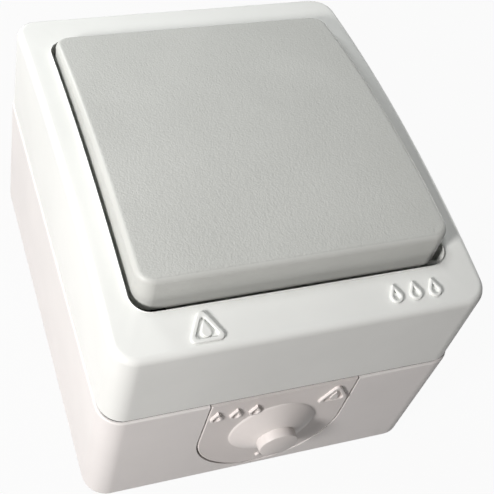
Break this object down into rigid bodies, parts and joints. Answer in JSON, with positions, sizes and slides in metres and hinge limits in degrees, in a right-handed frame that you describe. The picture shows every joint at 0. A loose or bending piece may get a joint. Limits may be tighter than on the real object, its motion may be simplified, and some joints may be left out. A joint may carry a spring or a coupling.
{
  "type": "outdoor weatherproof switch",
  "caption": "Surface-mounted splash-proof rocker switch with a domed cover, a sprung two-way contact inside, and a sealed cable entry below.",
  "frame": {"origin": "centre of the two wall-fixing slots on the flat back face, which is also the middle of that face", "axes": "+Z out of the wall through the rocker, +Y up on the wall, away from the cable entry, +X to the right as seen from the front"},
  "size_m": [0.066, 0.0815, 0.0543],
  "materials": {
    "casing_plastic": "white moulded plastic, smooth",
    "rocker_plastic": "pale grey moulded plastic, finely grained on top",
    "entry_plastic": "pale grey flexible plastic, smooth",
    "seal_rubber": "black sealing rubber",
    "splash_rubber": "dark grey soft rubber sheet",
    "mechanism_plastic": "dark grey glass-filled moulding",
    "frame_plastic": "natural white moulding",
    "plunger_plastic": "natural low-friction plastic",
    "contact_brass": "rolled strip",
    "contact_silver": "silver alloy, polished",
    "clamp_steel": "zinc plated",
    "screw_steel": "zinc plated",
    "spring_steel": "drawn wire"
  },
  "bodies": {
    "casing": {"back_box": "casing_plastic", "cover": "casing_plastic", "cable_entry": "entry_plastic", "seam_seal": "seal_rubber", "splash_gasket": "splash_rubber", "cover_screws": "screw_steel", "mechanism_housing": "mechanism_plastic", "bearing_frame": "frame_plastic", "mechanism_screws": "screw_steel", "common_bridge": "contact_brass", "lower_fixed_contact": "contact_brass", "upper_fixed_contact": "contact_brass", "fixed_rivets": "contact_silver", "lower_left_terminal_clamp": "clamp_steel", "lower_right_terminal_clamp": "clamp_steel", "upper_right_terminal_clamp": "clamp_steel", "terminal_screws": "screw_steel"},
    "rocker": {"rocker_cap": "rocker_plastic", "rocker_carrier": "frame_plastic", "plunger_spring": "spring_steel"},
    "plunger": {"plunger": "plunger_plastic"},
    "lever": {"contact_lever": "contact_brass", "lever_rivets": "contact_silver"}
  },
  "joints": [
    {"name": "rocker_tilt", "type": "hinge", "parent": "casing", "child": "rocker", "pos_m": [0, 0, 0.045], "axis": [1, 0, 0], "range_deg": [0, 6.52]},
    {"name": "contact_flip", "type": "hinge", "parent": "casing", "child": "lever", "pos_m": [0, 0, 0.018], "axis": [1, 0, 0], "range_deg": [-15.65, 0]},
    {"name": "plunger_slide", "type": "slide", "parent": "rocker", "child": "plunger", "axis": [0, 0.0569, 0.9984], "range_m": [0, 0.001], "stiffness_N_per_m": 500, "springref_m": -0.002, "deforming": ["plunger_spring"]}
  ],
  "couplings": [
    {"joint": "contact_flip", "follows": "rocker_tilt", "ratio": -2.4}
  ]
}
